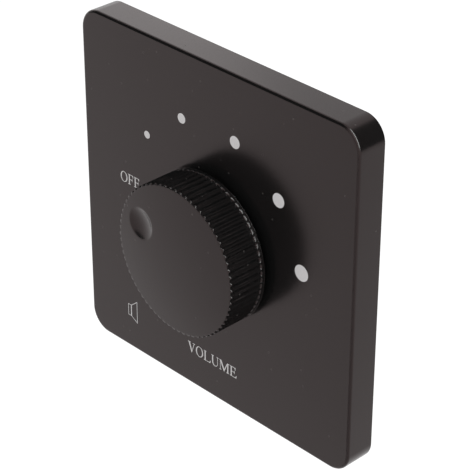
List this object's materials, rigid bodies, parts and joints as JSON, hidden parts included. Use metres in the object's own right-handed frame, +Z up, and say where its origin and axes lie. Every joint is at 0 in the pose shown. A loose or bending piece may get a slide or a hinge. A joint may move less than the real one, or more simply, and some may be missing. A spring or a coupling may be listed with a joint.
{
  "type": "speaker volume control",
  "caption": "Square screwless wall plate with a large fluted knob on a stepped rotary switch and a tapped transformer, to set loudspeaker volume.",
  "frame": {"origin": "on the knob's axis, midway between the two wall box screws, in the wall plane that the plate's back rim lies on", "axes": "+Y into the wall, along the knob's axis; -Y out of the wall, the way the plate faces; +Z up; +X to the right as seen from the front"},
  "size_m": [0.086, 0.0589, 0.086],
  "materials": {
    "plate_plastic": "satin charcoal",
    "knob_plastic": "satin charcoal",
    "brass": "bright",
    "spring_steel": "dull",
    "plated_steel": "bright zinc plate",
    "zinc_steel": "zinc plate",
    "black_plastic": "moulded",
    "ivory_plastic": "moulded nylon",
    "contact_bronze": "bright",
    "brown_laminate": "pressed laminate",
    "board_laminate": "green solder mask",
    "core_steel": "bare laminations",
    "winding_tape": "polyester tape",
    "tinned_wire": "tinned",
    "green_plastic": "moulded"
  },
  "bodies": {
    "base": {"front_plate": "plate_plastic", "mounting_frame": "zinc_steel", "switch_housing": "black_plastic", "switch_bush": "brass", "bush_washer": "zinc_steel", "bush_nut": "zinc_steel", "detent_ring": "ivory_plastic", "slip_ring": "contact_bronze", "contact_base": "brown_laminate", "fixed_contacts": "contact_bronze", "switch_screws": "plated_steel", "board_pillars": "brass", "pillar_screws": "plated_steel", "circuit_board": "board_laminate", "board_screws": "plated_steel", "transformer_core": "core_steel", "bobbin": "ivory_plastic", "winding": "winding_tape", "bobbin_pins": "tinned_wire", "core_bracket": "zinc_steel", "bracket_screws": "plated_steel", "terminal_block": "green_plastic", "terminal_cages": "tinned_wire", "terminal_screws": "plated_steel"},
    "control": {"knob": "knob_plastic", "knob_insert": "brass", "knob_spring": "spring_steel", "shaft": "plated_steel", "shaft_clip": "spring_steel", "rotor": "ivory_plastic", "detent_springs": "spring_steel", "detent_balls": "plated_steel", "wiper": "contact_bronze"}
  },
  "joints": [
    {"name": "knob_turn", "type": "hinge", "parent": "base", "child": "control", "pos_m": [0, 0, 0], "axis": [0, 1, 0], "range_deg": [-16.36, 147.27]}
  ]
}
